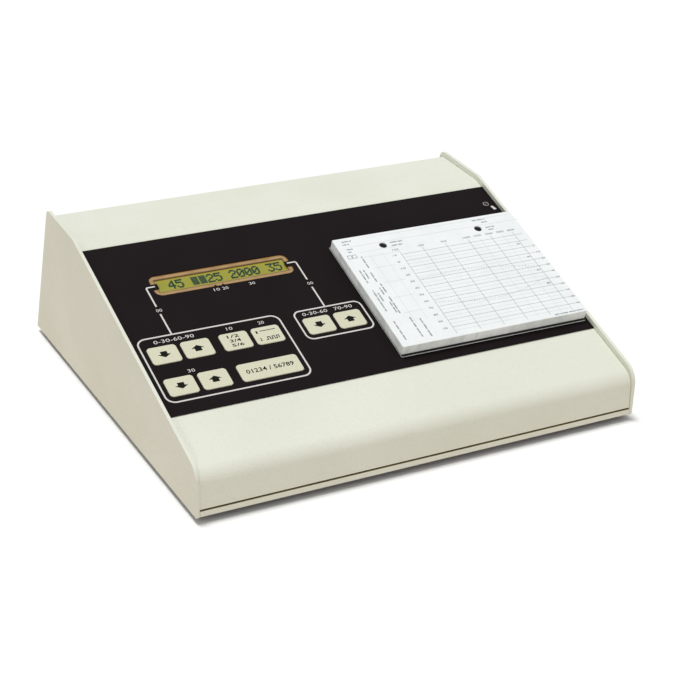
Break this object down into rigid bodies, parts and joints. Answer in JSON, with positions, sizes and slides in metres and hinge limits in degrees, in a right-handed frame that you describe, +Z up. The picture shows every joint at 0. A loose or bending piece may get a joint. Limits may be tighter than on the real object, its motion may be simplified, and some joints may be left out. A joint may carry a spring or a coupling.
{
  "type": "desktop audiometer",
  "caption": "Wedge-shaped desktop hearing tester with a sloping black keypad, a one-line display, sprung keys and a lift-off pad of charts on two pegs.",
  "frame": {"origin": "centre of the overall box, at the undersides of the four feet", "axes": "+Z up, -Y towards the person who uses it, +X to that person's right"},
  "size_m": [0.33, 0.3036, 0.1107],
  "materials": {
    "cream_paint": "fine speckled powder coat on folded steel sheet",
    "black_film": "printed polyester film",
    "key_plastic": "matt moulded key caps with printed marks",
    "rubber": "moulded rubber",
    "steel": "plated steel",
    "brass_plate": "tan painted sheet frame",
    "display_green": "yellow-green display cell",
    "laminate": "glass-fibre circuit board",
    "lens": "dark tinted lens",
    "paper": "printed white paper",
    "dark_board": "dark backing board",
    "white_card": "plain white card",
    "black_plastic": "moulded black plastic",
    "core_steel": "varnished core laminations",
    "coil_tape": "winding wrapped in yellow tape",
    "blue_sleeve": "blue shrink sleeve",
    "black_alloy": "black anodised",
    "grey_lead": "grey flat cable"
  },
  "bodies": {
    "case": {"left_side_panel": "cream_paint", "right_side_panel": "cream_paint", "top_cover": "cream_paint", "base_tray": "cream_paint", "rear_panel": "cream_paint", "keypad_overlay": "black_film", "keypad_board": "laminate", "display_frame": "brass_plate", "display_glass": "display_green", "display_board": "laminate", "power_indicator_ring": "steel", "power_indicator": "lens", "pad_peg_left": "black_plastic", "pad_peg_right": "black_plastic", "mains_inlet": "black_plastic", "inlet_pin_left": "steel", "inlet_pin_earth": "steel", "inlet_pin_right": "steel", "power_switch_body": "black_plastic", "phone_jack_left": "black_plastic", "phone_jack_right": "black_plastic", "response_jack": "black_plastic", "phone_jack_left_nut": "steel", "phone_jack_right_nut": "steel", "response_jack_nut": "steel", "rear_screw_upper_left": "steel", "rear_screw_upper_right": "steel", "rear_screw_lower_left": "steel", "rear_screw_lower_right": "steel", "left_front_nut": "steel", "left_rear_nut": "steel", "left_cover_nut": "steel", "right_front_nut": "steel", "right_rear_nut": "steel", "right_cover_nut": "steel", "foot_front_left": "rubber", "foot_rear_left": "rubber", "foot_front_right": "rubber", "foot_rear_right": "rubber", "main_board": "laminate", "transformer_core": "core_steel", "transformer_coil": "coil_tape", "smoothing_capacitor": "blue_sleeve", "heat_sink": "black_alloy", "keypad_ribbon": "grey_lead", "display_ribbon": "grey_lead"},
    "tone_down": {"key_tone_down": "key_plastic"},
    "tone_up": {"key_tone_up": "key_plastic"},
    "ear": {"key_ear": "key_plastic"},
    "pulse": {"key_pulse": "key_plastic"},
    "pitch_down": {"key_pitch_down": "key_plastic"},
    "pitch_up": {"key_pitch_up": "key_plastic"},
    "present": {"key_present": "key_plastic"},
    "mask_down": {"key_mask_down": "key_plastic"},
    "mask_up": {"key_mask_up": "key_plastic"},
    "rocker": {"power_rocker": "black_plastic"},
    "pad": {"chart_pad": "paper", "pad_backing": "dark_board", "pad_card": "white_card"}
  },
  "joints": [
    {"name": "tone_down_press", "type": "slide", "parent": "case", "child": "tone_down", "axis": [0, 0.3156, -0.9489], "range_m": [0, 0.0005], "stiffness_N_per_m": 3000},
    {"name": "tone_up_press", "type": "slide", "parent": "case", "child": "tone_up", "axis": [0, 0.3156, -0.9489], "range_m": [0, 0.0005], "stiffness_N_per_m": 3000},
    {"name": "ear_press", "type": "slide", "parent": "case", "child": "ear", "axis": [0, 0.3156, -0.9489], "range_m": [0, 0.0005], "stiffness_N_per_m": 3000},
    {"name": "pulse_press", "type": "slide", "parent": "case", "child": "pulse", "axis": [0, 0.3156, -0.9489], "range_m": [0, 0.0005], "stiffness_N_per_m": 3000},
    {"name": "pitch_down_press", "type": "slide", "parent": "case", "child": "pitch_down", "axis": [0, 0.3156, -0.9489], "range_m": [0, 0.0005], "stiffness_N_per_m": 3000},
    {"name": "pitch_up_press", "type": "slide", "parent": "case", "child": "pitch_up", "axis": [0, 0.3156, -0.9489], "range_m": [0, 0.0005], "stiffness_N_per_m": 3000},
    {"name": "present_press", "type": "slide", "parent": "case", "child": "present", "axis": [0, 0.3156, -0.9489], "range_m": [0, 0.0005], "stiffness_N_per_m": 3000},
    {"name": "mask_down_press", "type": "slide", "parent": "case", "child": "mask_down", "axis": [0, 0.3156, -0.9489], "range_m": [0, 0.0005], "stiffness_N_per_m": 3000},
    {"name": "mask_up_press", "type": "slide", "parent": "case", "child": "mask_up", "axis": [0, 0.3156, -0.9489], "range_m": [0, 0.0005], "stiffness_N_per_m": 3000},
    {"name": "rocker_tilt", "type": "hinge", "parent": "case", "child": "rocker", "pos_m": [0.082, 0.13152, 0.04983], "axis": [-1, 0, 0], "range_deg": [0, 16]},
    {"name": "pad_lift", "type": "slide", "parent": "case", "child": "pad", "axis": [0, -0.3156, 0.9489], "range_m": [0, 0.03]}
  ]
}
